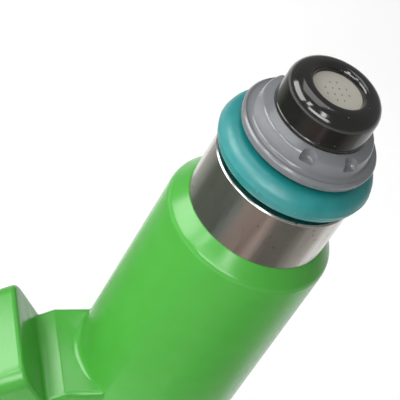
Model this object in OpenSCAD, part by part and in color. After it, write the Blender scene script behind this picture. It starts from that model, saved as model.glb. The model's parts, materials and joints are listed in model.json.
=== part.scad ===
// Top-feed port fuel injector, standing on its inlet end with the nozzle up.
// Z runs along the fuel path: 0 is the inlet end face. The connector points to +X and leans down.

/* [Inlet end] */
// Outer radius of the fuel pipe
pipe_r = 3.9; // [3.6:0.05:4.8]
// Radius of the bead that keeps the upper seal on the pipe
bead_r = 5.1; // [4.8:0.05:5.8]
// Height of the bead
bead_h = 2.2; // [1.8:0.1:3]
// Width of the groove for the upper seal
upper_groove_w = 4.4; // [3.8:0.1:6]
// Section radius of the upper seal
upper_seal_r = 1.72; // [1.4:0.02:1.8]
// Height of the backup ring
backup_h = 1.6; // [1:0.1:2.5]
// How far the backup ring and the clip collar stand out from the pipe
collar_wall = 2.1; // [1.8:0.05:2.8]
// Width of the groove that the rail clip slides into
clip_groove_w = 2.4; // [1.6:0.1:3]
// Depth of the clip groove
clip_groove_depth = 1.1; // [0.6:0.05:1.5]
// Thickness of the collar's rim on each side of the clip groove
collar_rim_h = 2; // [1.2:0.1:2.6]

/* [Body] */
// Length of the overmoulded body, from the clip collar to the steel sleeve
body_len = 30.1; // [25:0.1:38]
// Wall of the overmould around the steel sleeve
barrel_wall = 1.35; // [1:0.05:2]
// Height of the conical shoulder in front
shoulder_h = 1.6; // [1:0.1:2.4]
// Step of the shoulder's front edge above the steel sleeve
shoulder_step = 0.06; // [0.03:0.01:0.3]
// Height of the slimmer foot of the body
foot_h = 2.9; // [2:0.1:4]
// How much slimmer than the barrel the foot is
foot_step = 1.25; // [0.6:0.05:1.6]
// Height of the cone between the foot and the barrel
foot_cone_h = 2; // [1:0.1:3]
// Height of the solid head between the body's lower end and the flux washer
head_h = 12.6; // [12:0.1:16]

/* [Connector] */
// Lean of the connector below the horizontal, in degrees
conn_tilt = 43; // [40:1:48]
// Distance from the barrel's surface to the middle of the socket's back face
conn_reach = 2.7; // [2.2:0.1:4]
// Drop from the flux washer to the middle of the socket's back face
conn_drop = 7.8; // [7.4:0.1:9]
// Outer width of the socket shell
shell_w = 11.8; // [11:0.1:14.5]
// Outer height of the socket shell
shell_h = 12.6; // [11.6:0.1:14.5]
// Length of the socket shell
shell_len = 12.6; // [11:0.1:15]
// Wall of the socket shell
shell_wall = 1.3; // [1:0.05:1.6]
// Thickness of the socket's back wall
shell_back = 1.6; // [1.2:0.1:2.2]
// Corner radius of the socket shell
shell_corner = 1.8; // [1.7:0.1:2.6]
// Width of the neck between the barrel and the socket
neck_w = 10.4; // [9:0.1:10.8]
// Height of the neck's front face above the socket's middle
neck_top = 0.8; // [0.4:0.1:1.6]
// Length of the neck's flat next to the socket
neck_flat = 1.9; // [1:0.1:2.6]
// Slope of the neck's front face next to the barrel, in degrees
neck_slope = 15; // [8:1:25]

/* [Terminals] */
// Distance between the middles of the two blades
blade_pitch = 5; // [4.6:0.1:5.4]
// Width of a blade
blade_w = 2.3; // [1.9:0.1:2.8]
// Thickness of a blade
blade_t = 0.64; // [0.5:0.02:0.8]
// Distance from the socket's mouth to the blade tips
blade_recess = 5.6; // [5.2:0.1:7]
// Distance of the blades below the socket's middle
blade_low = 1.2; // [1:0.1:1.8]
// Width of the tail that goes down to the bobbin
tail_w = 1.2; // [0.8:0.1:1.4]
// Distance of the tail from the injector's axis
tail_x = 4.7; // [4.5:0.05:4.8]

/* [Magnet] */
// Radius of the fixed core
core_r = 2.95; // [2.6:0.05:3.6]
// Radius of the bore through the fixed core
core_bore_r = 1.5; // [1.3:0.05:1.8]
// Wall of the tube that the armature slides in
tube_wall = 0.55; // [0.4:0.05:0.8]
// Gap between the armature and its tube
armature_gap = 0.05; // [0.03:0.01:0.08]
// Length of the armature
armature_len = 5.5; // [4.5:0.1:6.5]
// Travel of the needle
lift = 0.1; // [0.06:0.01:0.15]
// Gap between the bobbin and the tube inside it
bobbin_gap = 0.05; // [0.02:0.01:0.1]
// Wall of the bobbin's barrel
bobbin_wall = 0.5; // [0.4:0.05:0.8]
// Thickness of a bobbin flange
bobbin_flange = 1.2; // [1:0.1:1.6]
// Depth of the winding
winding_depth = 1.7; // [1.3:0.05:2.4]
// Gap between the winding and the steel sleeve
winding_gap = 0.25; // [0.1:0.05:0.5]
// Wall of the steel sleeve
sleeve_wall = 0.7; // [0.5:0.05:1]
// Length of the steel sleeve that shows in front of the body
sleeve_shown = 5.8; // [4.5:0.1:8]
// Thickness of the lip at the front of the steel sleeve
sleeve_lip = 0.9; // [0.6:0.05:1.4]
// Height of the flux washer
washer_h = 1.8; // [1.2:0.1:2.4]

/* [Nozzle] */
// Radius of the valve seat
seat_r = 2.6; // [2.4:0.05:3.2]
// Wall of the nozzle body around the valve seat
seat_wall = 0.7; // [0.5:0.05:1]
// Step from the nozzle body's end to its full radius
nozzle_step = 0.95; // [0.8:0.05:1.4]
// Radius of the valve ball
ball_r = 1.75; // [1.6:0.01:1.9]
// Gap between the ball and what it seats on or slides in
ball_gap = 0.02; // [0.01:0.005:0.04]
// Radius of the seat's outlet
outlet_r = 1; // [0.8:0.05:1.1]
// Thickness of the needle guide
guide_h = 0.75; // [0.5:0.05:0.8]
// Outer radius of the needle stem
stem_r = 1.1; // [0.9:0.05:1.3]
// Bore of the needle stem
stem_bore_r = 0.6; // [0.4:0.05:0.7]
// Thickness of the orifice plate
plate_t = 0.25; // [0.15:0.01:0.35]
// Distance between neighbouring spray holes
spray_pitch = 0.7; // [0.6:0.02:0.74]
// Radius of a spray hole
spray_r = 0.09; // [0.06:0.01:0.12]
// Turn of the spray pattern about the axis, in degrees
spray_turn = 6.5; // [0:0.5:45]

/* [Nozzle seal] */
// Width of the groove for the lower seal
lower_groove_w = 4; // [3.4:0.1:5.5]
// Section radius of the lower seal
lower_seal_r = 1.56; // [1.3:0.02:1.6]
// Gap between the lower seal and the steel sleeve
lower_seal_back = 0.3; // [0.05:0.05:0.4]
// Thickness of the spacer ring's flange
flange_h = 0.85; // [0.6:0.05:1.2]
// Width of the spacer ring's flange around the nozzle body
flange_w = 2.15; // [1.8:0.05:2.6]
// Height of the whole spacer ring
spacer_h = 2.7; // [2.2:0.1:3.6]
// Width of a moulded pocket in the spacer ring
pocket_w = 1.45; // [1:0.05:2]
// Angle between the connector's plane and the first pocket, in degrees
pocket_angle = 67.5; // [50:0.5:75]

/* [Tip cap] */
// Height of the tip cap
cap_h = 3.6; // [3.4:0.1:4.5]
// How far the cap stands out from the nozzle body
cap_lip = 0.22; // [0.2:0.01:0.4]
// Radius of the cap's front edge
cap_edge = 1.38; // [0.8:0.02:1.5]
// Depth of the recess in front of the orifice plate
recess_h = 0.66; // [0.4:0.02:0.8]
// Radius of the recess at the orifice plate
recess_r = 2.35; // [2.1:0.05:2.4]
// How much wider the recess is in front
recess_flare = 0.5; // [0.2:0.05:0.6]

/* [Filter] */
// Bore of the filter collar, which is the open fuel inlet
inlet_r = 2.3; // [2:0.05:2.5]
// Length of the filter collar
filter_collar_h = 2.8; // [2:0.1:4]
// Length of the filter basket
filter_len = 11.2; // [8:0.1:13]
// Outer radius of the filter mesh
mesh_r = 2.2; // [1.9:0.05:2.3]
// Thickness of the filter mesh
mesh_t = 0.12; // [0.08:0.01:0.2]
// Number of ribs in the basket
rib_count = 4; // [3:1:6]

/* [Spring] */
// Section radius of the spring wire
wire_r = 0.17; // [0.12:0.01:0.2]
// Mean radius of the return spring
spring_r = 1.05; // [0.9:0.01:1.1]
// Number of turns of the return spring
spring_turns = 11; // [7:1:14]
// Length of the spring between its seats
spring_len = 8.4; // [7:0.1:10]
// Length of the spring adjuster
adjuster_len = 9; // [7:0.1:10]

/* [Hidden] */
$fn = 96;
// Amount by which a cutting shape passes the face it opens
cut = 1;
// Radii, from the core outwards
armature_r = core_r - armature_gap;
tube_r = core_r + tube_wall;
bobbin_bore_r = tube_r + bobbin_gap;
bobbin_r = bobbin_bore_r + bobbin_wall;
winding_r = bobbin_r + winding_depth;
sleeve_bore_r = winding_r + winding_gap;
sleeve_r = sleeve_bore_r + sleeve_wall;
barrel_r = sleeve_r + barrel_wall;
foot_r = barrel_r - foot_step;
collar_r = pipe_r + collar_wall;
nozzle_end_r = seat_r + seat_wall;
nozzle_r = nozzle_end_r + nozzle_step;
cap_r = nozzle_r + cap_lip;
plate_r = seat_r + seat_wall / 2;
// Heights, from the inlet end to the tip
z_backup = bead_h + upper_groove_w;
z_collar = z_backup + backup_h;
z_body = z_collar + clip_groove_w + 2 * collar_rim_h;
z_washer = z_body + head_h;
z_bobbin = z_washer + washer_h;
z_shoulder = z_body + body_len;
z_sleeve_end = z_shoulder + sleeve_shown;
z_lip = z_sleeve_end - sleeve_lip;
z_spacer = z_sleeve_end + lower_groove_w;
z_cap = z_spacer + spacer_h;
z_tip = z_cap + cap_h;
z_plate_face = z_tip - recess_h;
z_nozzle_end = z_plate_face - plate_t;
// The step of the nozzle body under the sleeve's lip, and the small seal between it and the bobbin
z_step = z_lip - 0.3;
small_seal_r = 0.6;
z_bobbin_end = z_step - 2 * small_seal_r - 0.1;
upper_small_seal_r = 0.5;
// The pipe holds the core's lower end
core_in_pipe = 5;
z_pipe_end = z_washer - 1.2;
z_core = z_pipe_end - core_in_pipe;
// The working gap lies inside the coil, and the lift stop stands out of the core by a film's thickness
z_armature = z_bobbin_end - 4.5;
stop_film = 0.05;
z_core_end = z_armature - lift - stop_film;
stop_r = (core_bore_r + core_r) / 2;
stop_h = 1;
// The return spring runs from the adjuster into the armature
spring_pocket = 0.9;
spring_pocket_r = spring_r + wire_r + 0.15;
z_spring = z_armature + spring_pocket - spring_len;
// The nozzle body's tube starts below the working gap
tube_in_coil = 6;
z_tube = z_armature - tube_in_coil;
// The shoulder of the nozzle body that the cap's spigot meets
spigot_h = 0.3;
// The seat's cone ends at the outlet, and the ball rests in it
seat_land = 0.87;
z_outlet = z_nozzle_end - seat_land;
z_ball = z_outlet - (ball_r + ball_gap) * sqrt(2) + outlet_r;
z_seat = z_ball + guide_h / 3;
z_guide = z_seat - guide_h;
cone_r = outlet_r + z_outlet - z_seat;
feed_r = seat_r - 0.55;
stem_in_armature = 2;
z_stem = z_armature + armature_len - stem_in_armature;
// Middle of the socket's back face
conn_x = barrel_r + conn_reach;
conn_z = z_washer - conn_drop;
tail_y = blade_pitch / 2 - (blade_w - tail_w) / 2 + 0.25;
// Where the blades' middle plane meets the tail
blade_back = (conn_x - blade_low * sin(conn_tilt) - tail_x) / cos(conn_tilt);
z_bend = conn_z - blade_low * cos(conn_tilt) + blade_back * sin(conn_tilt);
tail_foot = 0.9;
wire_lead_r = 0.15;

module ring(outer, inner, z0, z1) {
    translate([0, 0, z0])
        difference() {
            cylinder(r = outer, h = z1 - z0);
            translate([0, 0, -cut])
                cylinder(r = inner, h = z1 - z0 + 2 * cut);
        }
}

module oring(inner, section, z) {
    rotate_extrude()
        translate([inner + section, z])
            circle(r = section, $fn = 48);
}

// Places its children on the socket's axis: X along it towards the mouth, Z towards the nozzle
module at_socket() {
    translate([conn_x, 0, conn_z])
        rotate([0, conn_tilt, 0])
            children();
}

// Rounded bar along X from x0 to x1
module rounded_bar(width, height, corner, x0, x1) {
    translate([x0, 0, 0])
        rotate([90, 0, 90])
            linear_extrude(height = x1 - x0)
                union() {
                    square([width - 2 * corner, height], center = true);
                    square([width, height - 2 * corner], center = true);
                    for (x = [-1, 1], y = [-1, 1])
                        translate([x * (width / 2 - corner), y * (height / 2 - corner)])
                            circle(r = corner, $fn = 48);
                }
}

module fuel_pipe() {
    edge = 0.4;
    color("silver")
        rotate_extrude()
            polygon([
                [core_r, 0], [bead_r - edge, 0], [bead_r, edge], [bead_r, bead_h - edge],
                [bead_r - edge, bead_h], [pipe_r, bead_h], [pipe_r, z_pipe_end], [core_r, z_pipe_end]
            ]);
}

module filter_collar() {
    color("goldenrod") ring(core_r, inlet_r, 0, filter_collar_h);
}

module filter_frame() {
    rim_h = 1.2;
    end_h = 1.2;
    rib_w = 0.7;
    inner_r = mesh_r - mesh_t;
    z_rim = filter_collar_h;
    z_mesh = z_rim + rim_h;
    z_end = z_rim + filter_len - end_h;
    color("ivory")
        union() {
            ring(core_r, inner_r - 0.5, z_rim, z_mesh);
            for (i = [0:rib_count - 1])
                rotate([0, 0, 360 / rib_count * (i + 0.5)])
                    intersection() {
                        ring(inner_r, inner_r - 0.5, z_mesh - 0.1, z_end + 0.1);
                        translate([0, -rib_w / 2, z_mesh - 0.1])
                            cube([core_r, rib_w, z_end - z_mesh + 0.2]);
                    }
            translate([0, 0, z_end])
                cylinder(r = mesh_r, h = end_h);
        }
}

module filter_mesh() {
    z_mesh = filter_collar_h + 1.2;
    color("gainsboro") ring(mesh_r, mesh_r - mesh_t, z_mesh, filter_collar_h + filter_len - 1.2);
}

module upper_oring() {
    color("lightseagreen") oring(pipe_r, upper_seal_r, bead_h + upper_groove_w / 2);
}

module backup_ring() {
    color("dimgray") ring(collar_r - 0.1, pipe_r, z_backup, z_collar);
}

module clip_collar() {
    color("silver")
        difference() {
            ring(collar_r, pipe_r, z_collar, z_body);
            ring(collar_r + cut, collar_r - clip_groove_depth, z_collar + collar_rim_h, z_body - collar_rim_h);
        }
}

// Outer shape of the overmould without the connector
module body_outer() {
    rotate_extrude()
        polygon([
            [0, z_body], [foot_r, z_body], [foot_r, z_body + foot_h],
            [barrel_r, z_body + foot_h + foot_cone_h], [barrel_r, z_shoulder - shoulder_h],
            [sleeve_r + shoulder_step, z_shoulder], [0, z_shoulder]
        ]);
}

// Neck between the barrel and the socket: its front face has a slope and a flat
module neck() {
    s = sin(conn_tilt);
    c = cos(conn_tilt);
    low = shell_h / 2;
    top = [conn_x + neck_top * s, conn_z + neck_top * c];
    flat_end = top + [-neck_flat * c, neck_flat * s];
    bottom = [conn_x - low * s, conn_z - low * c];
    overlap = [shell_back / 2 * c, -shell_back / 2 * s];
    inner_x = core_r;
    translate([0, neck_w / 2, 0])
        rotate([90, 0, 0])
            linear_extrude(height = neck_w)
                polygon([
                    top + overlap, top, flat_end,
                    [inner_x, flat_end[1] + (flat_end[0] - inner_x) * tan(neck_slope)],
                    [inner_x, bottom[1] + (bottom[0] - inner_x) * tan(conn_tilt)],
                    bottom, bottom + overlap
                ]);
}

// Ramps that a loom plug's lock snaps over, on the shell's two side faces
module lock_ramps() {
    ramp_h = 0.9;
    ramp_len = 2.6;
    for (side = [0, 1])
        mirror([0, side, 0])
            translate([shell_len - 2.4, shell_w / 2, -2])
                linear_extrude(height = 4)
                    polygon([[0, 0], [-ramp_len, 0], [-ramp_len, ramp_h]]);
}

module body_overmold() {
    color("limegreen")
        difference() {
            union() {
                body_outer();
                neck();
                at_socket() {
                    rounded_bar(shell_w, shell_h, shell_corner, 0, shell_len);
                    lock_ramps();
                }
            }
            at_socket()
                rounded_bar(
                    shell_w - 2 * shell_wall, shell_h - 2 * shell_wall, shell_corner - shell_wall,
                    shell_back, shell_len + cut
                );
            translate([0, 0, z_washer])
                cylinder(r = sleeve_r, h = z_sleeve_end);
            translate([0, 0, z_pipe_end - cut])
                cylinder(r = core_r, h = z_sleeve_end);
            cylinder(r = pipe_r, h = z_pipe_end);
            terminal_shape(1);
            terminal_shape(-1);
        }
}

// One terminal: a narrow tail on the bobbin, bent over into a blade in the socket
module terminal_shape(side) {
    union() {
        translate([tail_x - blade_t / 2, side * tail_y - tail_w / 2, z_bend])
            cube([blade_t, tail_w, z_bobbin + tail_foot - z_bend]);
        translate([tail_x, side * blade_pitch / 2 + blade_w / 2, z_bend])
            rotate([90, 0, 0])
                cylinder(r = blade_t / 2, h = blade_w, $fn = 48);
        at_socket()
            translate([-blade_back, side * blade_pitch / 2 - blade_w / 2, -blade_low - blade_t / 2])
                cube([blade_back + shell_len - blade_recess, blade_w, blade_t]);
    }
}

module terminal_left() {
    color("lightgray") terminal_shape(1);
}

module terminal_right() {
    color("lightgray") terminal_shape(-1);
}

// Ends of the winding, each laid against a terminal's tail
module lead_wires() {
    color("chocolate")
        for (side = [-1, 1])
            translate([tail_x, side * (tail_y + tail_w / 2 + wire_lead_r), z_bobbin - 1])
                cylinder(r = wire_lead_r, h = 1 + bobbin_flange, $fn = 24);
}

module yoke_sleeve() {
    edge = 0.22;
    color("silver")
        rotate_extrude()
            polygon([
                [sleeve_bore_r, z_washer], [sleeve_r, z_washer], [sleeve_r, z_sleeve_end - edge],
                [sleeve_r - edge, z_sleeve_end], [nozzle_r, z_sleeve_end], [nozzle_r, z_lip],
                [sleeve_bore_r, z_lip]
            ]);
}

// Room that the terminals' tails and the lead wires need
module tail_window(z0, z1) {
    window_x = tail_x - blade_t / 2 - 0.2;
    half_w = tail_y + tail_w / 2 + 2 * wire_lead_r + 0.2;
    translate([window_x, -half_w, z0])
        cube([2 * sleeve_r, 2 * half_w, z1 - z0]);
}

module flux_washer() {
    color("darkgray")
        difference() {
            ring(sleeve_bore_r, core_r, z_washer, z_bobbin);
            tail_window(z_washer - cut, z_bobbin + cut);
        }
}

module fixed_core() {
    color("gray")
        difference() {
            ring(core_r, core_bore_r, z_core, z_core_end);
            translate([0, 0, z_core_end + stop_film - stop_h])
                cylinder(r = stop_r, h = stop_h);
        }
}

module lift_stop() {
    color("darkkhaki") ring(stop_r, core_bore_r, z_core_end + stop_film - stop_h, z_core_end + stop_film);
}

module spring_adjuster() {
    color("silver") ring(core_bore_r, 0.8, z_spring - adjuster_len, z_spring);
}

// A ring of points around the wire at one place on the spring's helix
function wire_ring(t, sides) =
    let (
        turn = 360 * spring_turns * t,
        lead = atan((spring_len - 2 * wire_r) / (2 * PI * spring_r * spring_turns)),
        z = z_spring + wire_r / cos(lead) + t * (spring_len - 2 * wire_r / cos(lead))
    )
    [for (i = [0:sides - 1])
        let (a = 360 * i / sides, out = wire_r * cos(a), up = wire_r * sin(a))
        [
            (spring_r + out) * cos(turn) + up * sin(lead) * sin(turn),
            (spring_r + out) * sin(turn) - up * sin(lead) * cos(turn),
            z + up * cos(lead)
        ]
    ];

module return_spring() {
    sides = 8;
    rings = spring_turns * 14;
    points = [for (k = [0:rings]) each wire_ring(k / rings, sides)];
    side_faces = [
        for (k = [0:rings - 1], i = [0:sides - 1])
            let (a = k * sides + i, b = k * sides + (i + 1) % sides)
            [a, a + sides, b + sides, b]
    ];
    start_face = [for (i = [0:sides - 1]) i];
    end_face = [for (i = [sides - 1:-1:0]) rings * sides + i];
    color("slategray") polyhedron(points, concat(side_faces, [start_face, end_face]));
}

module coil_bobbin() {
    seal_pocket_h = 2 * upper_small_seal_r + 0.1;
    color("saddlebrown")
        difference() {
            union() {
                ring(bobbin_r, bobbin_bore_r, z_bobbin, z_bobbin_end);
                ring(winding_r, bobbin_bore_r, z_bobbin, z_bobbin + bobbin_flange);
                ring(winding_r, bobbin_bore_r, z_bobbin_end - bobbin_flange, z_bobbin_end);
            }
            translate([0, 0, z_bobbin - cut])
                cylinder(r = core_r + 2 * upper_small_seal_r, h = cut + seal_pocket_h);
            terminal_shape(1);
            terminal_shape(-1);
            for (side = [-1, 1])
                translate([tail_x, side * (tail_y + tail_w / 2 + wire_lead_r), z_bobbin - cut])
                    cylinder(r = wire_lead_r, h = bobbin_flange + 2 * cut, $fn = 24);
        }
}

module coil_winding() {
    color("chocolate")
        ring(winding_r, bobbin_r, z_bobbin + bobbin_flange, z_bobbin_end - bobbin_flange);
}

module bobbin_seal_upper() {
    color("black") oring(core_r, upper_small_seal_r, z_bobbin + upper_small_seal_r + 0.05);
}

module bobbin_seal_lower() {
    color("black") oring(tube_r, small_seal_r, z_bobbin_end + small_seal_r + 0.05);
}

module armature() {
    feed_bore_r = 0.9;
    color("gray")
        difference() {
            translate([0, 0, z_armature])
                cylinder(r = armature_r, h = armature_len);
            translate([0, 0, z_armature - cut])
                cylinder(r = feed_bore_r, h = armature_len + 2 * cut);
            translate([0, 0, z_armature - cut])
                cylinder(r = spring_pocket_r, h = cut + spring_pocket);
            translate([0, 0, z_stem])
                cylinder(r = stem_r, h = stem_in_armature + cut);
        }
}

module needle_stem() {
    port_r = 0.35;
    color("lightgray")
        difference() {
            ring(stem_r, stem_bore_r, z_stem, z_ball - ball_r / 2);
            translate([0, 0, z_ball])
                sphere(r = ball_r);
            for (turn = [0, 90])
                translate([0, 0, z_ball - 2 * ball_r])
                    rotate([0, 90, turn])
                        cylinder(r = port_r, h = 4 * stem_r, center = true, $fn = 32);
        }
}

module valve_ball() {
    color("silver")
        translate([0, 0, z_ball])
            sphere(r = ball_r);
}

module nozzle_body() {
    chamber_end = z_armature + armature_len + 0.4;
    color("lightsteelblue")
        rotate_extrude()
            polygon([
                [core_r, z_tube], [tube_r, z_tube], [tube_r, z_step], [nozzle_r, z_step],
                [nozzle_r, z_cap - spigot_h], [nozzle_end_r, z_cap - spigot_h],
                [nozzle_end_r, z_nozzle_end], [seat_r, z_nozzle_end], [seat_r, z_guide],
                [feed_r, z_guide], [feed_r, chamber_end], [core_r, chamber_end]
            ]);
}

module needle_guide() {
    ports = 5;
    port_r = 0.25;
    color("darkgray")
        difference() {
            ring(seat_r, ball_r + ball_gap, z_guide, z_seat);
            for (i = [0:ports - 1])
                rotate([0, 0, 360 / ports * i])
                    translate([ball_r + ball_gap + 0.12, 0, z_guide - cut])
                        cylinder(r = port_r, h = guide_h + 2 * cut, $fn = 32);
        }
}

module valve_seat() {
    chamber_r = 1.4;
    chamber_h = 0.3;
    color("gray")
        rotate_extrude()
            polygon([
                [cone_r, z_seat], [seat_r, z_seat], [seat_r, z_nozzle_end], [chamber_r, z_nozzle_end],
                [chamber_r, z_nozzle_end - chamber_h], [outlet_r, z_nozzle_end - chamber_h],
                [outlet_r, z_outlet]
            ]);
}

module orifice_plate() {
    span = 3 * spray_pitch;
    color("tan")
        difference() {
            translate([0, 0, z_nozzle_end])
                cylinder(r = plate_r, h = plate_t);
            rotate([0, 0, spray_turn])
                for (i = [0:3], j = [0:3])
                    if (abs(i - 1.5) + abs(j - 1.5) < 3)
                        translate([i * spray_pitch - span / 2, j * spray_pitch - span / 2, z_nozzle_end - cut])
                            cylinder(r = spray_r, h = plate_t + 2 * cut, $fn = 24);
        }
}

module lower_oring() {
    color("lightseagreen") oring(nozzle_r, lower_seal_r, z_sleeve_end + lower_seal_back + lower_seal_r);
}

module spacer_ring() {
    tier_foot = nozzle_r + flange_w * 0.68;
    tier_rim = nozzle_r + flange_w * 0.47;
    rim_drop = 0.44;
    pocket_floor = z_cap - 1.3;
    pocket_back = nozzle_r + 0.25;
    color("slategray")
        difference() {
            rotate_extrude()
                polygon([
                    [nozzle_r, z_spacer], [nozzle_r + flange_w - 0.08, z_spacer],
                    [nozzle_r + flange_w, z_spacer + flange_h - 0.1], [tier_foot, z_spacer + flange_h],
                    [tier_rim, z_cap - rim_drop], [cap_r, z_cap], [nozzle_r, z_cap]
                ]);
            for (a = [pocket_angle, 180 - pocket_angle], side = [-1, 1])
                rotate([0, 0, side * a])
                    translate([pocket_back, -pocket_w / 2, pocket_floor])
                        cube([flange_w, pocket_w, 2 * cut]);
        }
}

module tip_cap() {
    color([0.12, 0.12, 0.12])
        difference() {
            rotate_extrude()
                union() {
                    translate([0, z_cap - spigot_h])
                        square([nozzle_r, spigot_h + cut]);
                    translate([0, z_cap])
                        square([cap_r, cap_h - cap_edge]);
                    translate([0, z_cap])
                        square([cap_r - cap_edge, cap_h]);
                    translate([cap_r - cap_edge, z_tip - cap_edge])
                        intersection() {
                            circle(r = cap_edge);
                            square(cap_edge);
                        }
                }
            translate([0, 0, z_cap - spigot_h - cut])
                cylinder(r = nozzle_end_r, h = z_nozzle_end - z_cap + spigot_h + cut);
            translate([0, 0, z_nozzle_end - cut])
                cylinder(r = plate_r, h = plate_t + cut);
            translate([0, 0, z_plate_face])
                cylinder(r1 = recess_r, r2 = recess_r + recess_flare, h = recess_h);
            translate([0, 0, z_plate_face])
                cylinder(r = recess_r, h = recess_h + cut);
        }
}

fuel_pipe();
filter_collar();
filter_frame();
filter_mesh();
upper_oring();
backup_ring();
clip_collar();
body_overmold();
terminal_left();
terminal_right();
lead_wires();
yoke_sleeve();
flux_washer();
fixed_core();
lift_stop();
spring_adjuster();
return_spring();
coil_bobbin();
coil_winding();
bobbin_seal_upper();
bobbin_seal_lower();
armature();
needle_stem();
valve_ball();
nozzle_body();
needle_guide();
valve_seat();
orifice_plate();
lower_oring();
spacer_ring();
tip_cap();
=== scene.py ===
# %% [markdown]
# # A fuel injector, dressed around its CAD model
# The CAD model gives every part its place and size. This script gives the parts their looks:
# turned metal, moulded plastic and rubber. It loads the CAD model first, because most sizes
# used below are measured on it. The others are written in millimetres where they are used.

# %% Load the CAD model and note its box
import json
import math

import bmesh
import bpy
from mathutils import Matrix, Vector

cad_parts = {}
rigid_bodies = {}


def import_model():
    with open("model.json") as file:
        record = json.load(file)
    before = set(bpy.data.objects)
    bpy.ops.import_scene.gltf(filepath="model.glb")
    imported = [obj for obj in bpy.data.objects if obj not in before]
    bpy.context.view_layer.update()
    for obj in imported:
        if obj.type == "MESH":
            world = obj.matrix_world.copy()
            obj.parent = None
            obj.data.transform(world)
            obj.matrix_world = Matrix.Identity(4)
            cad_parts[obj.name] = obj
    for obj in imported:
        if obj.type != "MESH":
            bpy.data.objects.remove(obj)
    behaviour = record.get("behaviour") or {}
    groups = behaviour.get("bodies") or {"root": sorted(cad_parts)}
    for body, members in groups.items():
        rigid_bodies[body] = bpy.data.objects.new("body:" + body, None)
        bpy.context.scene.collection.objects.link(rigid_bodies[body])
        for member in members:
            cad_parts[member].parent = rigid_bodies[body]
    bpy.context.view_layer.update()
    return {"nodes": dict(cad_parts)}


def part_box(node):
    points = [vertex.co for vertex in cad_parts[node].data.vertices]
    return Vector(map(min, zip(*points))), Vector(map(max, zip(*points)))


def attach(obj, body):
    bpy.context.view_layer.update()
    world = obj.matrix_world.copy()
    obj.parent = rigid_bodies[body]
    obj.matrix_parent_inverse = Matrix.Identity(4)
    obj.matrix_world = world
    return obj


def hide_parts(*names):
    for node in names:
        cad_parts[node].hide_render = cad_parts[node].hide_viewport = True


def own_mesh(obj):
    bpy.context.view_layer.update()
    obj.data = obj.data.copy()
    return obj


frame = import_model()
MM = 0.001

# %% [markdown]
# ## Measures
# Most parts are rings around one axis, so a radius and two heights describe each of them.
# They are read from the CAD parts' boxes once, under short names, and all pieces share them.

# %% Read the radii and heights from the CAD parts


def radius(node):
    """Outer radius of a round CAD part."""
    return -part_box(node)[0].x


def low(node):
    """Height of the lower end of a CAD part."""
    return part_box(node)[0].z


def high(node):
    """Height of the upper end of a CAD part."""
    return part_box(node)[1].z


barrel_r = radius("body_overmold")
sleeve_r = radius("yoke_sleeve")
nozzle_r = radius("nozzle_body")
cap_r = radius("tip_cap")
core_r = radius("fixed_core")
pipe_r = radius("upper_oring") - (high("upper_oring") - low("upper_oring"))
print("barrel, sleeve, nozzle radii in mm:", [round(r / MM, 2) for r in (barrel_r, sleeve_r, nozzle_r)])

# %% [markdown]
# ## Turned shapes
# A ring-shaped part could start from a cylinder and be cut. It is quicker and cleaner to draw half
# of its section once, round the section's corners, and spin it about the axis, as a lathe would.
# Rounding the corners before the spin costs one number per corner and gives true fillets.

# %% Helpers that turn a section into a piece


def finish_mesh(name, bm, crease=32):
    """Makes an object from a bmesh, with smooth faces and edges that stay crisp past the crease angle."""
    bmesh.ops.recalc_face_normals(bm, faces=bm.faces)
    mesh = bpy.data.meshes.new(name)
    bm.to_mesh(mesh)
    bm.free()
    mesh.shade_smooth()
    mesh.set_sharp_from_angle(angle=math.radians(crease))
    piece = bpy.data.objects.new(name, mesh)
    bpy.context.scene.collection.objects.link(piece)
    return piece


def rounded_section(points):
    """Draws a closed section in the XZ plane. A point is (radius, height) or (radius, height, rounding)."""
    bm = bmesh.new()
    corners = [bm.verts.new((p[0], 0, p[1])) for p in points]
    bm.faces.new(corners)
    for corner, point in zip(corners, points):
        if len(point) == 3:
            bmesh.ops.bevel(
                bm, geom=[corner], offset=point[2], segments=6, profile=0.5,
                affect="VERTICES", material=-1,
            )
    return bm


def turned(name, points, steps=128):
    """Spins a section about the Z axis into a closed ring or a closed solid."""
    bm = rounded_section(points)
    bmesh.ops.delete(bm, geom=bm.faces[:], context="FACES_ONLY")
    bmesh.ops.spin(
        bm, geom=bm.verts[:] + bm.edges[:], cent=(0, 0, 0), axis=(0, 0, 1),
        angle=math.tau, steps=steps, use_merge=True,
    )
    bmesh.ops.remove_doubles(bm, verts=bm.verts, dist=1e-7)
    piece = finish_mesh(name, bm)
    print(name, "turned:", len(piece.data.polygons), "faces")
    return piece


def place(piece, node, body="root"):
    """Ties a finished piece to its body and hides the CAD part that it stands for."""
    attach(piece, body)
    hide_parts(node)


# %% [markdown]
# ## Finishes
# Each finish is a node material. All of them read Object coordinates, which are metres here, so a
# noise scale of 1000 gives spots about 1 mm wide. A finish has three parts: a colour that drifts a
# little, a roughness that drifts a little, and a fine bump. The helpers below add each part.

# %% Helpers that build a finish


def new_finish(name, roughness, **sockets):
    """Starts a material and sets the values that are the same all over the surface."""
    finish = bpy.data.materials.new(name)
    finish.use_nodes = True
    shader = finish.node_tree.nodes["Principled BSDF"]
    shader.inputs["Roughness"].default_value = roughness
    for socket, value in sockets.items():
        shader.inputs[socket.replace("_", " ")].default_value = value
    return finish


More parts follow.
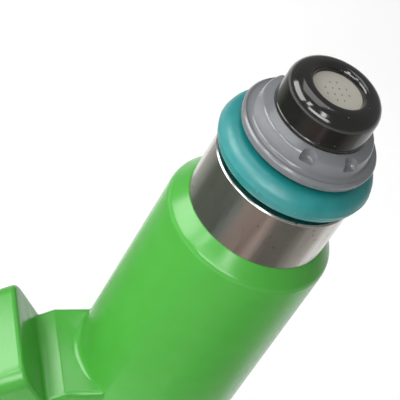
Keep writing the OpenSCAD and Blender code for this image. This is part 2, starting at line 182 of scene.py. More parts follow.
def noise_on(finish, scale, stretch=(1, 1, 1), detail=3.0):
    """A noise pattern on Object coordinates. Stretch makes it streaky along an axis."""
    nodes, links = finish.node_tree.nodes, finish.node_tree.links
    coords = nodes.new("ShaderNodeTexCoord")
    mapping = nodes.new("ShaderNodeMapping")
    mapping.inputs["Scale"].default_value = stretch
    noise = nodes.new("ShaderNodeTexNoise")
    noise.inputs["Scale"].default_value = scale
    noise.inputs["Detail"].default_value = detail
    links.new(coords.outputs["Object"], mapping.inputs["Vector"])
    links.new(mapping.outputs["Vector"], noise.inputs["Vector"])
    return noise.outputs["Fac"]


def ramp_on(finish, factor, stops):
    """Turns a pattern into colours. Stops are (position, colour) pairs."""
    ramp = finish.node_tree.nodes.new("ShaderNodeValToRGB")
    while len(ramp.color_ramp.elements) < len(stops):
        ramp.color_ramp.elements.new(0.5)
    for element, (position, colour) in zip(ramp.color_ramp.elements, stops):
        element.position = position
        element.color = (*colour, 1.0)
    finish.node_tree.links.new(factor, ramp.inputs["Fac"])
    return ramp.outputs["Color"]


def blend_on(finish, factor, below, above):
    """Lays one colour over another where the factor is 1."""
    mix = finish.node_tree.nodes.new("ShaderNodeMix")
    mix.data_type = "RGBA"
    links = finish.node_tree.links
    links.new(factor, mix.inputs["Factor"])
    links.new(below, mix.inputs["A"])
    if isinstance(above, tuple):
        mix.inputs["B"].default_value = (*above, 1.0)
    else:
        links.new(above, mix.inputs["B"])
    return mix.outputs["Result"]


def band_on(finish, factor, low_in, high_in, low_out, high_out):
    """Rescales a pattern: low_in..high_in becomes low_out..high_out, and it stays inside."""
    band = finish.node_tree.nodes.new("ShaderNodeMapRange")
    band.inputs["From Min"].default_value = low_in
    band.inputs["From Max"].default_value = high_in
    band.inputs["To Min"].default_value = low_out
    band.inputs["To Max"].default_value = high_out
    finish.node_tree.links.new(factor, band.inputs["Value"])
    return band.outputs["Result"]


def colour_of(finish, colour):
    finish.node_tree.links.new(colour, finish.node_tree.nodes["Principled BSDF"].inputs["Base Color"])


def roughness_of(finish, pattern):
    finish.node_tree.links.new(pattern, finish.node_tree.nodes["Principled BSDF"].inputs["Roughness"])


def bump_of(finish, patterns):
    """Adds bumps one on another. Each is (pattern, height in metres)."""
    nodes, links = finish.node_tree.nodes, finish.node_tree.links
    normal = None
    for pattern, height in patterns:
        bump = nodes.new("ShaderNodeBump")
        bump.inputs["Distance"].default_value = height
        links.new(pattern, bump.inputs["Height"])
        if normal:
            links.new(normal, bump.inputs["Normal"])
        normal = bump.outputs["Normal"]
    links.new(normal, nodes["Principled BSDF"].inputs["Normal"])


def paint(piece, finish):
    """Gives a new piece its finish."""
    piece.data.materials.clear()
    piece.data.materials.append(finish)


def specks_on(finish, scale, threshold):
    """Small sparse dots, such as dust or pits: 1 on a dot and 0 elsewhere."""
    return band_on(finish, noise_on(finish, scale, detail=1.0), threshold, threshold + 0.03, 0.0, 1.0)


# %% [markdown]
# ### Moulded plastic
# Moulded plastic isn't one flat colour: pigment swirls a little and the skin has a fine orange peel.
# The glossy black cap has almost no peel, but gloss shows dust, so it gets a few pale specks.

# %% Plastic finishes


def moulded_plastic(name, dark, light, roughness, peel, speck=None, **sockets):
    """Speck is (scale, threshold, colour) of the sparse dots on the skin."""
    finish = new_finish(name, roughness, **sockets)
    colour = ramp_on(finish, noise_on(finish, 420), [(0.3, dark), (0.7, light)])
    if speck:
        colour = blend_on(finish, specks_on(finish, speck[0], speck[1]), colour, speck[2])
    colour_of(finish, colour)
    gloss = noise_on(finish, 1700)
    roughness_of(finish, band_on(finish, gloss, 0.3, 0.7, roughness - 0.03, roughness + 0.03))
    bump_of(finish, [(noise_on(finish, 2600), peel), (noise_on(finish, 330), peel * 3)])
    return finish


green_plastic = moulded_plastic(
    "green_plastic", (0.047, 0.272, 0.030), (0.050, 0.286, 0.034), 0.24, 5e-7,
    Subsurface_Weight=0.10, Subsurface_Scale=0.0005, Subsurface_Radius=(0.4, 1.0, 0.3),
)
grey_plastic = moulded_plastic(
    "grey_plastic", (0.126, 0.132, 0.139), (0.136, 0.142, 0.149), 0.20, 5e-7,
    speck=(5200, 0.80, (0.5, 0.5, 0.5)), Specular_IOR_Level=0.65,
)
black_plastic = moulded_plastic(
    "black_plastic", (0.004, 0.004, 0.0035), (0.006, 0.006, 0.005), 0.13, 5e-7,
    speck=(5200, 0.80, (0.5, 0.5, 0.48)), Specular_IOR_Level=0.72,
)
bobbin_plastic = moulded_plastic("bobbin_plastic", (0.060, 0.034, 0.016), (0.085, 0.048, 0.022), 0.45, 3e-6)
filter_plastic = moulded_plastic("filter_plastic", (0.62, 0.58, 0.47), (0.70, 0.66, 0.55), 0.42, 3e-6)
print("plastic finishes:", green_plastic.name, grey_plastic.name, black_plastic.name)

# %% [markdown]
# ### Rubber
# Rubber seals are soft-looking: a broad highlight, a very fine grain and a little lint.

# %% Rubber finishes


def seal_rubber(name, dark, light, roughness):
    finish = new_finish(name, roughness, Specular_IOR_Level=0.7)
    colour = ramp_on(finish, noise_on(finish, 600), [(0.35, dark), (0.65, light)])
    colour_of(finish, blend_on(finish, specks_on(finish, 4300, 0.80), colour, (0.45, 0.62, 0.60)))
    sheen = noise_on(finish, 2100)
    roughness_of(finish, band_on(finish, sheen, 0.3, 0.7, roughness - 0.06, roughness + 0.06))
    bump_of(finish, [(noise_on(finish, 7000), 1.5e-6), (noise_on(finish, 500), 6e-6)])
    return finish


teal_rubber = seal_rubber("teal_rubber", (0.003, 0.158, 0.158), (0.006, 0.182, 0.180), 0.40)
black_rubber = seal_rubber("black_rubber", (0.010, 0.010, 0.010), (0.018, 0.018, 0.018), 0.5)
print("rubber finishes:", teal_rubber.name, black_rubber.name)

# %% [markdown]
# ### Metal
# Turned metal carries fine rings around its axis, so its noise is squeezed along Z: the pattern
# changes quickly with height and slowly around. Handling leaves faint stains and a few small pits.
# The orifice plate gets no pits, because each one would look like another spray hole.

# %% Metal finishes


def turned_metal(
    name, base, stain, roughness, ring_height=2.5e-7,
    stains=(0.42, 0.72), grain=(330, 330, 120), pits=0.73, **sockets
):
    finish = new_finish(name, roughness, **{"Metallic": 1.0, **sockets})
    tone = noise_on(finish, 1.0, stretch=grain)
    colour = ramp_on(finish, tone, [(stains[0], base), (stains[1], stain)])
    if pits:
        colour = blend_on(finish, specks_on(finish, 3300, pits), colour, tuple(0.25 * v for v in base))
    colour_of(finish, colour)
    rings = noise_on(finish, 1.0, stretch=(60, 60, 9000), detail=4.0)
    roughness_of(finish, band_on(finish, rings, 0.3, 0.7, roughness - 0.02, roughness + 0.03))
    bump_of(finish, [(rings, ring_height), (noise_on(finish, 1500), 6e-7)])
    return finish


sleeve_steel = turned_metal(
    "sleeve_steel", (0.56, 0.55, 0.52), (0.40, 0.37, 0.34), 0.20,
    stains=(0.40, 0.80), grain=(1100, 1100, 90), pits=0.70,
)
stainless = turned_metal("stainless", (0.60, 0.60, 0.59), (0.50, 0.49, 0.46), 0.28)
soft_iron = turned_metal("soft_iron", (0.30, 0.30, 0.31), (0.22, 0.21, 0.20), 0.42)
hard_steel = turned_metal("hard_steel", (0.66, 0.66, 0.67), (0.56, 0.56, 0.57), 0.16)
spring_steel = turned_metal("spring_steel", (0.36, 0.36, 0.38), (0.26, 0.25, 0.25), 0.32)
brass = turned_metal("brass", (0.72, 0.50, 0.20), (0.55, 0.36, 0.14), 0.26)
copper = turned_metal("copper", (0.68, 0.27, 0.12), (0.48, 0.16, 0.07), 0.30)
tinned_blade = turned_metal("tinned_blade", (0.62, 0.62, 0.60), (0.50, 0.50, 0.48), 0.30, ring_height=8e-7)
plate_metal = turned_metal(
    "plate_metal", (0.46, 0.447, 0.39), (0.41, 0.398, 0.345), 0.62,
    ring_height=3e-7, stains=(0.3, 0.8), pits=None, Metallic=0.6,
)
mesh_metal = turned_metal("mesh_metal", (0.62, 0.62, 0.60), (0.50, 0.50, 0.48), 0.35)
print("metal finishes:", sleeve_steel.name, plate_metal.name, brass.name)

# %% [markdown]
# ## Camera
# The camera looks at the nozzle from above and in front. It comes early, so that each later step
# can be rendered. Its long lens keeps the injector's sides almost parallel.

# %% Set the camera
VIEW_RIGHT = Vector((-0.8988, 0.1521, 0.4111))
VIEW_UP = Vector((0.1688, -0.7455, 0.6448))
VIEW_BACK = VIEW_RIGHT.cross(VIEW_UP).normalized()
camera_data = bpy.data.cameras.new("camera")
camera_data.lens = 162
camera_data.sensor_width = 36
camera_data.clip_start = 0.01
camera = bpy.data.objects.new("camera", camera_data)
bpy.context.scene.collection.objects.link(camera)
camera.matrix_world = Matrix((VIEW_RIGHT, VIEW_UP, VIEW_BACK)).transposed().to_4x4()
camera.location = (0.06966, 0.10265, 0.14651)
bpy.context.scene.camera = camera
print("camera stands", round(camera.location.length / MM), "mm from the inlet")

# %% [markdown]
# ## The nozzle end
# ### Tip cap
# The cap is a thick-walled cup of glossy black plastic with a hole in its floor. One section does
# it all: the press-fit spigot, a thin lip at the base, the big round front edge and the recess
# that the spray leaves through. The recess has a steep wall under a round lip.

# %% Turn the tip cap
cap_base = high("spacer_ring")
cap_front = high("tip_cap")
plate_low, plate_high = low("orifice_plate"), high("orifice_plate")
plate_r = radius("orifice_plate")
nozzle_end_r = 3.3 * MM
recess_r = 2.35 * MM
cap_wall_r = cap_r - 0.07 * MM
cap = turned("tip_cap_moulding", [
    (nozzle_end_r, low("tip_cap")),
    (nozzle_r, low("tip_cap")),
    (nozzle_r, cap_base),
    (cap_r, cap_base, 0.03 * MM),
    (cap_r, cap_base + 0.30 * MM, 0.06 * MM),
    (cap_wall_r, cap_base + 0.36 * MM, 0.03 * MM),
    (cap_wall_r, cap_front, 1.38 * MM),
    (recess_r + 0.22 * MM, cap_front, 0.32 * MM),
    (recess_r, plate_high, 0.02 * MM),
    (plate_r, plate_high),
    (plate_r, plate_low),
    (nozzle_end_r, plate_low),
], steps=160)
paint(cap, black_plastic)
place(cap, "tip_cap")

# %% [markdown]
# ### Spacer ring
# The grey ring behind the cap is turned in the same way, with a hollow between its thin flange and
# its tier. The four pockets are left by the mould. They are cut with short rounded cylinders. A
# boolean suits them, because the pockets cross three surfaces.

# %% Helpers for blocks and cuts


def rounded_block(name, size, rounding, segments=4):
    """A block around the origin with all its edges rounded."""
    bm = bmesh.new()
    bmesh.ops.create_cube(bm, size=1.0)
    bmesh.ops.scale(bm, vec=size, verts=bm.verts)
    bmesh.ops.bevel(
        bm, geom=bm.edges[:], offset=rounding, segments=segments, profile=0.5,
        affect="EDGES", material=-1,
    )
    return finish_mesh(name, bm)


def rounded_drill(name, drill_r, bottom, top, rounding):
    """A closed upright cylinder with rounded ends, to cut pockets with."""
    bm = bmesh.new()
    bmesh.ops.create_cone(
        bm, cap_ends=True, segments=40, radius1=drill_r, radius2=drill_r, depth=top - bottom,
    )
    bmesh.ops.translate(bm, verts=bm.verts, vec=(0, 0, (top + bottom) / 2))
    rims = [e for e in bm.edges if abs(e.verts[0].co.z - e.verts[1].co.z) < 1e-7]
    bmesh.ops.bevel(bm, geom=rims, offset=rounding, segments=5, profile=0.5, affect="EDGES", material=-1)
    return finish_mesh(name, bm)


def moved(piece, matrix):
    """Moves a piece by changing its mesh, so that its object stays at the origin."""
    piece.data.transform(matrix)
    if matrix.determinant() < 0:
        piece.data.flip_normals()
    return piece


def combine(piece, others, operation):
    """Joins other pieces to this one or cuts them from it, and removes them."""
    for other in others:
        modifier = piece.modifiers.new("combine", "BOOLEAN")
        modifier.object = other
        modifier.operation = operation
        modifier.solver = "EXACT"
    depsgraph = bpy.context.evaluated_depsgraph_get()
    result = bpy.data.meshes.new_from_object(piece.evaluated_get(depsgraph))
    piece.modifiers.clear()
    piece.data = result
    for other in others:
        bpy.data.objects.remove(other)
    return piece


# %% Turn the spacer ring and cut its pockets
flange_low = low("spacer_ring")
flange_r = radius("spacer_ring")
flange_high = flange_low + 0.85 * MM
spacer = turned("spacer_ring_moulding", [
    (nozzle_r, flange_low),
    (flange_r - 0.10 * MM, flange_low, 0.08 * MM),
    (flange_r, flange_high - 0.22 * MM, 0.10 * MM),
    (flange_r - 0.20 * MM, flange_high + 0.02 * MM, 0.07 * MM),
    (flange_r - 0.34 * MM, flange_high - 0.05 * MM, 0.05 * MM),
    (flange_r - 0.74 * MM, flange_high, 0.22 * MM),
    (flange_r - 0.98 * MM, cap_base - 0.95 * MM, 0.3 * MM),
    (flange_r - 1.10 * MM, cap_base - 0.42 * MM, 0.17 * MM),
    (cap_r - 0.02 * MM, cap_base, 0.05 * MM),
    (nozzle_r, cap_base),
], steps=160)
pockets = []
for angle in (67.5, 112.5, -67.5, -112.5):
    drill = rounded_drill("pocket", 0.74 * MM, cap_base - 1.12 * MM, cap_base + 0.8 * MM, 0.3 * MM)
    moved(drill, Matrix.Translation((nozzle_r + 1.12 * MM, 0, 0)))
    pockets.append(moved(drill, Matrix.Rotation(math.radians(angle), 4, "Z")))
combine(spacer, pockets, "DIFFERENCE")
spacer.data.set_sharp_from_angle(angle=math.radians(32))
paint(spacer, grey_plastic)
place(spacer, "spacer_ring")
print("spacer ring:", len(spacer.data.polygons), "faces")

# %% [markdown]
# ### Seals
# An O-ring is a torus, but a real one shows where its mould's halves met: a hair of flash around
# its outside. So the section is a circle whose outermost point is pulled out a little.

# %% Spin the O-rings


def seal(name, node, segments=48, flash=0.0):
    """A rubber ring with the CAD part's size, and a fine parting line outside."""
    bottom, top = low(node), high(node)
    section_r = (top - bottom) / 2
    bm = bmesh.new()
    bmesh.ops.create_circle(bm, segments=segments, radius=section_r)
    bmesh.ops.rotate(bm, verts=bm.verts, cent=(0, 0, 0), matrix=Matrix.Rotation(math.radians(90), 3, "X"))
    outermost = max(bm.verts, key=lambda v: v.co.x)
    for v in bm.verts:
        v.co.x -= flash
    outermost.co.x += flash
    bmesh.ops.translate(bm, verts=bm.verts, vec=(radius(node) - section_r, 0, (top + bottom) / 2))
    bmesh.ops.spin(
        bm, geom=bm.verts[:] + bm.edges[:], cent=(0, 0, 0), axis=(0, 0, 1),
        angle=math.tau, steps=160, use_merge=True,
    )
    piece = finish_mesh(name, bm, crease=14)
    print(name, "section", round(2 * section_r / MM, 2), "mm")
    return piece


for node, finish, slot, flash in (
    ("lower_oring", teal_rubber, "teal_rubber", 0.05 * MM),
    ("upper_oring", teal_rubber, "teal_rubber", 0.05 * MM),
    ("bobbin_seal_lower", black_rubber, "black_rubber", 0.0),
    ("bobbin_seal_upper", black_rubber, "black_rubber", 0.0),
):
    ring = seal(node + "_rubber", node, flash=flash)
    paint(ring, finish)
    place(ring, node)

# %% [markdown]
# ### Steel sleeve
# The sleeve is the outer iron of the magnet. It is a cup with a lip in front, turned from tube,
# with a polished chamfer that catches the light as one bright line.

# %% Turn the steel sleeve
sleeve_low, sleeve_high = low("yoke_sleeve"), high("yoke_sleeve")
sleeve_bore_r = sleeve_r - 0.7 * MM
sleeve_chamfer = 0.14 * MM
sleeve = turned("yoke_sleeve_turned", [
    (sleeve_bore_r, sleeve_low),
    (sleeve_r, sleeve_low),
    (sleeve_r, sleeve_high - sleeve_chamfer, 0.04 * MM),
    (sleeve_r - sleeve_chamfer, sleeve_high, 0.04 * MM),
    (nozzle_r, sleeve_high),
    (nozzle_r, sleeve_high - 0.9 * MM),
    (sleeve_bore_r, sleeve_high - 0.9 * MM),
], steps=192)
paint(sleeve, sleeve_steel)
place(sleeve, "yoke_sleeve")

# %% [markdown]
# ### Nozzle body
# The nozzle body only shows as a dark line between the seals and rings, but it carries them all.
# It is one turned tube: a thin wall inside the coil, then a step up to the part that the seal grips.

# %% Turn the nozzle body
nozzle_low, nozzle_high = low("nozzle_body"), high("nozzle_body")
tube_r = core_r + 0.55 * MM
chamber_end = high("armature") + 0.4 * MM
seat_r = radius("valve_seat")
shoulder = low("tip_cap")
step_low = sleeve_high - 1.2 * MM
nozzle = turned("nozzle_body_turned", [
    (core_r, nozzle_low),
    (tube_r, nozzle_low, 0.1 * MM),
    (tube_r, step_low),
    (nozzle_r, step_low, 0.15 * MM),
    (nozzle_r, shoulder),
    (nozzle_end_r, shoulder),
    (nozzle_end_r, nozzle_high),
    (seat_r, nozzle_high),
    (seat_r, low("needle_guide")),
    (seat_r - 0.55 * MM, low("needle_guide")),
    (seat_r - 0.55 * MM, chamber_end),
    (core_r, chamber_end),
])
paint(nozzle, stainless)
place(nozzle, "nozzle_body")

# %% [markdown]
# ## The inlet end
# The fuel pipe, its clip collar, the backup ring and the brass filter collar are turned parts too.
# Their edges are broken by a tenth of a millimetre or more, as a deburred part's are.

# %% Turn the inlet's rings
bead_high = 2.2 * MM
bead_r = radius("fuel_pipe")
pipe_high = high("fuel_pipe")
pipe = turned("fuel_pipe_drawn", [
    (core_r, 0, 0.12 * MM),
    (bead_r, 0, 0.45 * MM),
    (bead_r, bead_high, 0.45 * MM),
    (pipe_r, bead_high, 0.3 * MM),
    (pipe_r, pipe_high),
    (core_r, pipe_high),
])
paint(pipe, stainless)
place(pipe, "fuel_pipe")

backup_r = radius("backup_ring")
backup = turned("backup_ring_moulding", [
    (pipe_r, low("backup_ring")),
    (backup_r, low("backup_ring"), 0.25 * MM),
    (backup_r, high("backup_ring"), 0.15 * MM),
    (pipe_r, high("backup_ring")),
])
paint(backup, grey_plastic)
place(backup, "backup_ring")

collar_r = radius("clip_collar")
collar_low, collar_high = low("clip_collar"), high("clip_collar")
collar_rim = 2.0 * MM
groove_r = collar_r - 1.1 * MM
collar = turned("clip_collar_turned", [
    (pipe_r, collar_low),
    (collar_r, collar_low, 0.25 * MM),
    (collar_r, collar_low + collar_rim, 0.18 * MM),
    (groove_r, collar_low + collar_rim, 0.12 * MM),
    (groove_r, collar_high - collar_rim, 0.12 * MM),
    (collar_r, collar_high - collar_rim, 0.18 * MM),
    (collar_r, collar_high, 0.1 * MM),
    (pipe_r, collar_high),
])
paint(collar, stainless)
place(collar, "clip_collar")

inlet_r = 2.3 * MM
filter_collar = turned("filter_collar_turned", [
    (inlet_r, 0, 0.2 * MM),
    (core_r, 0, 0.1 * MM),
    (core_r, high("filter_collar")),
    (inlet_r, high("filter_collar"), 0.1 * MM),
])
paint(filter_collar, brass)
place(filter_collar, "filter_collar")

# %% [markdown]
# ### Filter mesh
# The filter is woven wire. A real weave would cost far too many faces for a part this small, so a
# tube of square cells is drawn and the Wireframe modifier turns each cell edge into a wire.

# %% Make the filter mesh
mesh_r = radius("filter_mesh")
mesh_low, mesh_high = low("filter_mesh"), high("filter_mesh")
cells_round = 40
cells_up = 26
mesh_wire = 0.1 * MM
bm = bmesh.new()
bmesh.ops.create_circle(bm, segments=cells_round, radius=mesh_r - mesh_wire / 2)
bmesh.ops.translate(bm, verts=bm.verts, vec=(0, 0, mesh_low + mesh_wire / 2))
rim = bm.edges[:]
for _ in range(cells_up):
    grown = bmesh.ops.extrude_edge_only(bm, edges=rim)["geom"]
    raised = [v for v in grown if isinstance(v, bmesh.types.BMVert)]
    rim = [e for e in grown if isinstance(e, bmesh.types.BMEdge)]
    bmesh.ops.translate(bm, verts=raised, vec=(0, 0, (mesh_high - mesh_low - mesh_wire) / cells_up))
filter_mesh = finish_mesh("filter_mesh_woven", bm)
wires = filter_mesh.modifiers.new("wires", "WIREFRAME")
wires.thickness = mesh_wire
wires.use_even_offset = True
wires.use_boundary = True
paint(filter_mesh, mesh_metal)
place(filter_mesh, "filter_mesh")
print("filter mesh:", cells_round * cells_up, "cells")

# %% [markdown]
# ## The magnet and the valve
# ### Winding
# The coil's outside shows its turns of wire. The section is the bobbin's window with a scalloped
# outer edge: one small arc for each turn. It is spun like the other rings.

# %% Wind the coil
wind_low, wind_high = low("coil_winding"), high("coil_winding")
wind_r = radius("coil_winding")
bobbin_r = core_r + 1.1 * MM
turns = 46
wire_r = (wind_high - wind_low) / turns / 2
outline = [(bobbin_r, wind_high), (bobbin_r, wind_low)]
for turn in range(turns):
    middle = wind_low + (2 * turn + 1) * wire_r
    for share in (-0.92, -0.5, 0.0, 0.5, 0.92):
        bulge = math.sqrt(1 - share * share)
        outline.append((wind_r - wire_r * (1 - bulge), middle + share * wire_r))
winding = turned("coil_winding_wound", outline, steps=96)
paint(winding, copper)
place(winding, "coil_winding")

# %% [markdown]
# ### Return spring
# A coil spring is a wire swept along a helix. The spin operator does it when each step also moves
# along the axis. The spring's lower end rests on the adjuster and its upper end bears on the armature.

# %% Coil the return spring
spring_low, spring_high = low("return_spring"), high("return_spring")
spring_wire_r = 0.17 * MM
spring_r = radius("return_spring") - spring_wire_r
coils = 11
steps = coils * 32
bm = bmesh.new()
bmesh.ops.create_circle(bm, segments=12, radius=spring_wire_r, cap_ends=True)
bmesh.ops.rotate(bm, verts=bm.verts, cent=(0, 0, 0), matrix=Matrix.Rotation(math.radians(90), 3, "X"))
bmesh.ops.translate(bm, verts=bm.verts, vec=(spring_r, 0, spring_low + spring_wire_r))
rise = (spring_high - spring_low - 2 * spring_wire_r) / steps
bmesh.ops.spin(
    bm, geom=bm.faces[:], cent=(0, 0, 0), axis=(0, 0, 1), dvec=(0, 0, rise),
    angle=math.tau * coils, steps=steps, use_merge=False,
)
spring = finish_mesh("return_spring_coiled", bm)
paint(spring, spring_steel)
place(spring, "return_spring")
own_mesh(spring)
print("spring:", coils, "coils,", len(spring.data.polygons), "faces")

# %% [markdown]
# ## The green body
# The overmould is one moulding: a barrel, a neck that leaves it at a slant, and the socket's shell.
# It could be sculpted from one mesh, but its parts are plain solids, so each is built with its own
# rounded edges, and booleans join them. A mould never leaves a sharp inner corner, so the neck's
# outline curves up into the shell, and a flare turned about the barrel's axis fills the other one.

# %% Turn the barrel
body_low, body_high = low("body_overmold"), high("body_overmold")
foot_r = barrel_r - 1.25 * MM
shoulder_r = sleeve_r + 0.06 * MM
barrel_points = [
    (pipe_r, body_low),
    (foot_r, body_low, 0.35 * MM),
    (foot_r, body_low + 2.9 * MM, 0.8 * MM),
    (barrel_r, body_low + 4.9 * MM, 0.8 * MM),
    (barrel_r, body_high - 1.6 * MM, 0.38 * MM),
    (shoulder_r, body_high, 0.04 * MM),
    (sleeve_r, body_high),
    (sleeve_r, sleeve_low),
    (core_r, sleeve_low),
    (core_r, pipe_high),
    (pipe_r, pipe_high),
]
body = turned("green_body", barrel_points, steps=160)

# %% [markdown]
# The connector has its own axis. A matrix carries pieces built around the origin, with X pointing
# out of the socket's mouth, to their place on the barrel.

# %% Find the connector's axis
conn_tilt = math.radians(43)
conn_out = Vector((math.cos(conn_tilt), 0, -math.sin(conn_tilt)))
conn_front = Vector((math.sin(conn_tilt), 0, math.cos(conn_tilt)))
conn_root = Vector((barrel_r + 2.7 * MM, 0, sleeve_low - 7.8 * MM))
to_socket = Matrix.Translation(conn_root) @ Matrix.Rotation(conn_tilt, 4, "Y")
shell_w, shell_h, shell_len = 11.8 * MM, 12.6 * MM, 12.6 * MM
shell_wall, shell_back, shell_corner = 1.3 * MM, 1.6 * MM, 1.8 * MM
print("connector leans", round(math.degrees(conn_tilt)), "degrees below the horizontal")

# %% Helpers for bars with rounded corners


def rounded_bar(name, width, height, corner, x0, x1, edge=0.0):
    """A bar along X with rounded long edges, and with end edges rounded by edge."""
    bm = bmesh.new()
    bmesh.ops.create_cube(bm, size=1.0)
    bmesh.ops.scale(bm, vec=(x1 - x0, width, height), verts=bm.verts)
    bmesh.ops.translate(bm, verts=bm.verts, vec=((x0 + x1) / 2, 0, 0))
    long_edges = [e for e in bm.edges if abs(e.verts[0].co.x - e.verts[1].co.x) > MM]
    bmesh.ops.bevel(
        bm, geom=long_edges, offset=corner, segments=8, profile=0.5, affect="EDGES", material=-1,
    )
    if edge:
        ends = [e for e in bm.edges if abs(e.verts[0].co.x - e.verts[1].co.x) < 1e-7]
        bmesh.ops.bevel(bm, geom=ends, offset=edge, segments=4, profile=0.5, affect="EDGES", material=-1)
    return finish_mesh(name, bm)


def prism(name, outline, width, rounding):
    """A closed outline in the XZ plane, drawn out to both sides, with its edges rounded.
    The outline is made of (point, corner rounding) pairs."""
    points = [(p.x, p.z, r) if r else (p.x, p.z) for p, r in outline]
    bm = rounded_section(points)
    bmesh.ops.translate(bm, verts=bm.verts, vec=(0, -width / 2, 0))
    grown = bmesh.ops.extrude_face_region(bm, geom=bm.faces[:])["geom"]
    bmesh.ops.translate(bm, verts=[v for v in grown if isinstance(v, bmesh.types.BMVert)], vec=(0, width, 0))
    side_edges = [e for e in bm.edges if abs(e.verts[0].co.y - e.verts[1].co.y) < 1e-7]
    bmesh.ops.bevel(
        bm, geom=side_edges, offset=rounding, segments=4, profile=0.5, affect="EDGES", material=-1,
    )
    return finish_mesh(name, bm)


# %% Build the neck, the shell and its locks, and join them
neck_w = 10.4 * MM
neck_top = conn_root + conn_front * 0.8 * MM
neck_bend = neck_top - conn_out * 1.9 * MM
neck_inner_x = pipe_r + 0.6 * MM
neck_low = conn_root - conn_front * (shell_h / 2 - 0.25 * MM)
slope = math.tan(math.radians(15))
neck_corner = conn_root + conn_front * 0.8 * MM
neck = prism("neck", [
    (neck_corner + conn_front * 2.0 * MM + conn_out * 0.8 * MM, 0),
    (neck_corner + conn_front * 2.0 * MM, 0),
    (neck_corner, 0.5 * MM),
    (neck_bend, 0.15 * MM),
    (Vector((neck_inner_x, 0, neck_bend.z + (neck_bend.x - neck_inner_x) * slope)), 0),
    (Vector((neck_inner_x, 0, neck_low.z + (neck_low.x - neck_inner_x) * math.tan(conn_tilt))), 0),
    (neck_low + conn_out * 0.8 * MM, 0),
], neck_w, 0.5 * MM)
corner_z = neck_bend.z + (neck_bend.x - barrel_r) * slope
flare_out = 1.1 * MM
flare = turned("flare", [
    (barrel_r - 1.0 * MM, corner_z + 1.8 * MM),
    (barrel_r - 0.01 * MM, corner_z + 1.8 * MM),
    (barrel_r - 0.01 * MM, corner_z, 0.8 * MM),
    (barrel_r + flare_out, corner_z - flare_out * slope),
    (barrel_r + flare_out, corner_z - 1.2 * MM),
    (barrel_r - 1.0 * MM, corner_z - 1.2 * MM),
], steps=160)
flare_part = rounded_block("flare_part", (12 * MM, neck_w - 0.2 * MM, 8 * MM), 0.5 * MM)
moved(flare_part, Matrix.Translation((10 * MM, 0, corner_z)))
combine(flare, [flare_part], "INTERSECT")
shell = moved(rounded_bar("shell", shell_w, shell_h, shell_corner, 0, shell_len, edge=0.45 * MM), to_socket)
locks = []
for side in (-1, 1):
    lock = rounded_block("lock", (2.6 * MM, 1.8 * MM, 4 * MM), 0.2 * MM)
    for v in lock.data.vertices:
        if side * v.co.y > 0 and v.co.x > 0:
            v.co.y -= side * 0.85 * MM
    lock_place = Matrix.Translation((8.9 * MM, side * (shell_w / 2 - 0.02 * MM), 0))
    locks.append(moved(lock, to_socket @ lock_place))
combine(body, [neck, flare, shell] + locks, "UNION")
print("joined body:", len(body.data.polygons), "faces")

# %% [markdown]
# The socket is hollow, so its cavity is cut from the joined body. The blades are moulded into the
# back wall, so they get no slots: each blade simply enters the plastic.

# %% Cut the cavity
cavity = rounded_bar(
    "cavity", shell_w - 2 * shell_wall, shell_h - 2 * shell_wall, 0.5 * MM,
    shell_back, shell_len + 3 * MM,
)
combine(body, [moved(cavity, to_socket)], "DIFFERENCE")
body.data.shade_smooth()
body.data.set_sharp_from_angle(angle=math.radians(32))
paint(body, green_plastic)
place(body, "body_overmold")
print("green body:", len(body.data.polygons), "faces")

# %% [markdown]
# ## Parts that keep their CAD shape
# The remaining parts are right as they are. They only need a finish, which goes in each object's
# material slots, so that the CAD mesh stays as it was packed.

# %% Give the CAD parts their finishes
CAD_FINISHES = {
    "orifice_plate": plate_metal,
    "terminal_left": tinned_blade,
    "terminal_right": tinned_blade,
    "filter_frame": filter_plastic,
    "lead_wires": copper,
    "flux_washer": soft_iron,
    "fixed_core": soft_iron,
    "armature": soft_iron,
    "lift_stop": hard_steel,
    "spring_adjuster": stainless,
    "coil_bobbin": bobbin_plastic,
    "needle_stem": stainless,
    "valve_ball": hard_steel,
    "needle_guide": hard_steel,
    "valve_seat": hard_steel,
}
for node, finish in CAD_FINISHES.items():
    for material_slot in frame["nodes"][node].material_slots:
        material_slot.material = finish
print("CAD parts finished:", len(CAD_FINISHES))

# %% [markdown]
# ## Floor and light
# The floor is a wide pale sheet. Two wide soft boxes light the nozzle from in front, two narrow
# strips draw the highlights on the gloss, and a large box hangs overhead. A card lies around the
# injector's foot. Only mirrors see it. Its colours are painted reflections: they give the steel its
# dark bands, and the gloss brown and pale bands besides.

# %% Lay the floor and hang the lights


def stage_plane(name, size, matrix, colour):
    """A square sheet that belongs to the studio, not to the injector."""
    bm = bmesh.new()
    bmesh.ops.create_grid(bm, x_segments=1, y_segments=1, size=size / 2)
    bmesh.ops.transform(bm, matrix=matrix, verts=bm.verts)
    sheet = finish_mesh(name, bm)
    paper = new_finish(name + "_paper", 0.9)
    shade = tuple(c * 0.985 for c in colour)
    colour_of(paper, ramp_on(paper, noise_on(paper, 40), [(0.4, colour), (0.6, shade)]))
    paint(sheet, paper)
    return sheet


def facing(position, target):
    """A matrix at position whose -Z points at the target."""
    position, target = Vector(position), Vector(target)
    turn = (target - position).to_track_quat("-Z", "Y").to_matrix().to_4x4()
    return Matrix.Translation(position) @ turn


def soft_box(name, direction, distance, size_x, size_y, power):
    """A rectangular soft light that points at the nozzle."""
    light_data = bpy.data.lights.new(name, "AREA")
    light_data.shape = "RECTANGLE"
    light_data.size = size_x
    light_data.size_y = size_y
    light_data.energy = power
    light = bpy.data.objects.new(name, light_data)
    light.matrix_world = facing(LIT_POINT + Vector(direction).normalized() * distance, LIT_POINT)
    bpy.context.scene.collection.objects.link(light)
    return light


LIT_POINT = Vector((0, 0, high("yoke_sleeve")))
stage_plane("floor", 6.0, Matrix.Identity(4), (0.97, 0.97, 0.97))


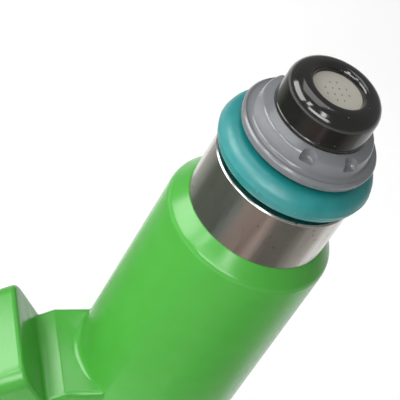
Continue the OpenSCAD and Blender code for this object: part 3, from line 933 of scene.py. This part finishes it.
def toward(around, up):
    """The direction at an angle around the injector from its connector, and up from the horizontal."""
    around, up = math.radians(around), math.radians(up)
    return (math.cos(around) * math.cos(up), math.sin(around) * math.cos(up), math.sin(up))


soft_box("key_light", toward(-20, 24), 0.30, 0.26, 0.14, 0.75)
soft_box("front_light", toward(50, 20), 0.30, 0.27, 0.08, 0.55)
soft_box("left_strip", toward(17, 38), 0.30, 0.04, 0.12, 0.13)
soft_box("right_strip", toward(60, 44), 0.30, 0.05, 0.14, 0.20)
soft_box("top_light", toward(-60, 70), 0.50, 0.34, 0.34, 0.8)

# %% Lay the card of painted reflections


def reflection_card(name, inner, outer, start, end, height, stops):
    """A flat ring sector that only mirrors see. Stops are (angle around, colour) pairs; the colours are
    painted reflections.
    """
    bm = bmesh.new()
    near = bm.verts.new((inner, 0, height))
    far = bm.verts.new((outer, 0, height))
    bm.edges.new((near, far))
    first = Matrix.Rotation(math.radians(start), 3, "Z")
    bmesh.ops.rotate(bm, verts=bm.verts, cent=(0, 0, 0), matrix=first)
    bmesh.ops.spin(
        bm, geom=bm.verts[:] + bm.edges[:], cent=(0, 0, 0), axis=(0, 0, 1),
        angle=math.radians(end - start), steps=48, use_merge=False,
    )
    card = finish_mesh(name, bm)
    paper = new_finish(name + "_paper", 0.9)
    nodes, links = paper.node_tree.nodes, paper.node_tree.links
    coords = nodes.new("ShaderNodeTexCoord")
    gradient = nodes.new("ShaderNodeTexGradient")
    gradient.gradient_type = "RADIAL"
    links.new(coords.outputs["Object"], gradient.inputs["Vector"])
    colour_of(paper, ramp_on(paper, gradient.outputs["Fac"], [(0.5 + a / 360, c) for a, c in stops]))
    paint(card, paper)
    card.visible_camera = False
    card.visible_diffuse = False
    card.visible_shadow = False
    return card


# Painted reflections: dark, brown, pink and pale bands of colour that the steel and the gloss mirror.
reflection_card("painted_reflection_sheet", 30 * MM, 150 * MM, -80, 165, 1 * MM, [
    (-76, (0.45, 0.45, 0.43)),
    (-36, (0.055, 0.068, 0.050)),
    (18, (0.042, 0.054, 0.041)),
    (30, (0.10, 0.115, 0.11)),
    (44, (0.20, 0.15, 0.13)),
    (70, (0.20, 0.15, 0.13)),
    (78, (0.38, 0.29, 0.27)),
    (88, (0.11, 0.10, 0.088)),
    (122, (0.11, 0.10, 0.088)),
    (160, (0.60, 0.58, 0.55)),
])

world = bpy.data.worlds.new("studio")
world.use_nodes = True
world.node_tree.nodes["Background"].inputs["Color"].default_value = (1.0, 1.0, 1.0, 1.0)
world.node_tree.nodes["Background"].inputs["Strength"].default_value = 0.32
bpy.context.scene.world = world
bpy.context.scene.view_settings.view_transform = "Standard"
